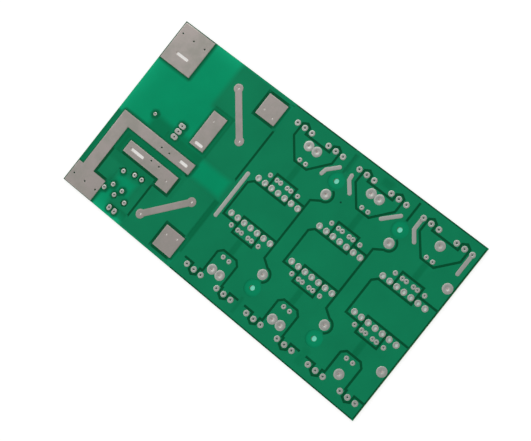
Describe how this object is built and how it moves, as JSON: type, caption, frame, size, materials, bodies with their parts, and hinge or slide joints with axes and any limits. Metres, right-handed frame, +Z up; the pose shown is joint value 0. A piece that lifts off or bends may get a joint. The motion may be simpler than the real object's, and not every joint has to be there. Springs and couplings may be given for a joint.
{
  "type": "bare power circuit board",
  "caption": "Flat rectangular printed circuit board with no parts fitted: etched copper under a green coat, tinned plates, buses and lands, and drilled lead, slot and mounting holes.",
  "frame": {"origin": "centre of the underside", "axes": "+X along the board's length towards the third channel, +Y across it, +Z up out of the solder side"},
  "size_m": [0.228, 0.12, 0.0017],
  "materials": {
    "coated_laminate": "green solder mask over glass-epoxy laminate",
    "tinned_copper": "hot-air levelled tin, satin and slightly uneven"
  },
  "bodies": {
    "root": {"board": "coated_laminate", "supply_terminal": "tinned_copper", "return_bus": "tinned_copper", "shunt_bar": "tinned_copper", "fuse_plate": "tinned_copper", "upper_square_plate": "tinned_copper", "lower_square_plate": "tinned_copper", "control_lands": "tinned_copper", "sense_lands": "tinned_copper", "header_lands": "tinned_copper", "upper_strip": "tinned_copper", "lower_strip": "tinned_copper", "rail_strip": "tinned_copper", "channel_1_transistor_lands": "tinned_copper", "channel_1_transformer_lands": "tinned_copper", "channel_1_snubber_lands": "tinned_copper", "channel_1_pair_lands": "tinned_copper", "channel_1_winding_lands": "tinned_copper", "channel_2_transistor_lands": "tinned_copper", "channel_2_transformer_lands": "tinned_copper", "channel_2_snubber_lands": "tinned_copper", "channel_2_pair_lands": "tinned_copper", "channel_2_winding_lands": "tinned_copper", "channel_3_transistor_lands": "tinned_copper", "channel_3_transformer_lands": "tinned_copper", "channel_3_snubber_lands": "tinned_copper", "channel_3_pair_lands": "tinned_copper", "channel_3_winding_lands": "tinned_copper", "link_lands_1": "tinned_copper", "link_lands_2": "tinned_copper", "link_lands_3": "tinned_copper", "channel_1_right_bar": "tinned_copper", "channel_2_left_bar": "tinned_copper", "channel_2_right_bar": "tinned_copper", "channel_3_left_bar": "tinned_copper", "channel_3_right_bar": "tinned_copper"}
  },
  "joints": []
}
